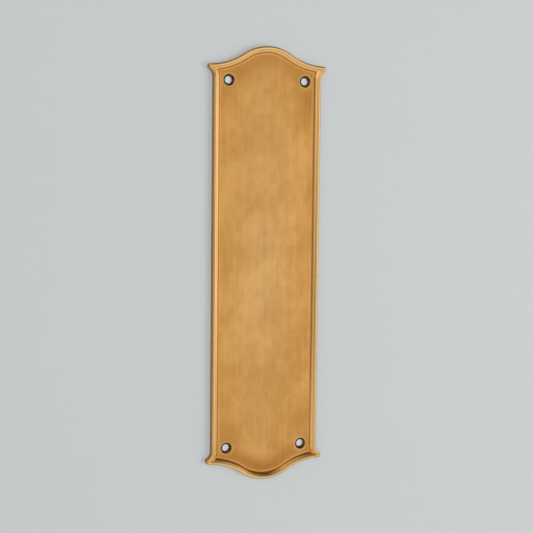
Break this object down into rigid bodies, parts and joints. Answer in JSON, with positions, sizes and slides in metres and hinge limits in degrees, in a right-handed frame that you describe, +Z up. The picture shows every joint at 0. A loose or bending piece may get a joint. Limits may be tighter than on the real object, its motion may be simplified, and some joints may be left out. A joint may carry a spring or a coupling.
{
  "type": "door finger plate",
  "caption": "Tall flat brass push plate with a moulded rim, ogee ends, eared corners and countersunk screw holes.",
  "frame": {"origin": "centre of the flat back face, which lies against the door", "axes": "+Z up along the plate's length, +X to the right seen from the front, +Y into the door; the front faces -Y"},
  "size_m": [0.0836, 0.0055, 0.3],
  "materials": {
    "brass": "satin antiqued brass with fine lengthwise brush lines, darker in the creases of the rim"
  },
  "bodies": {
    "root": {"finger_plate": "brass"}
  },
  "joints": []
}
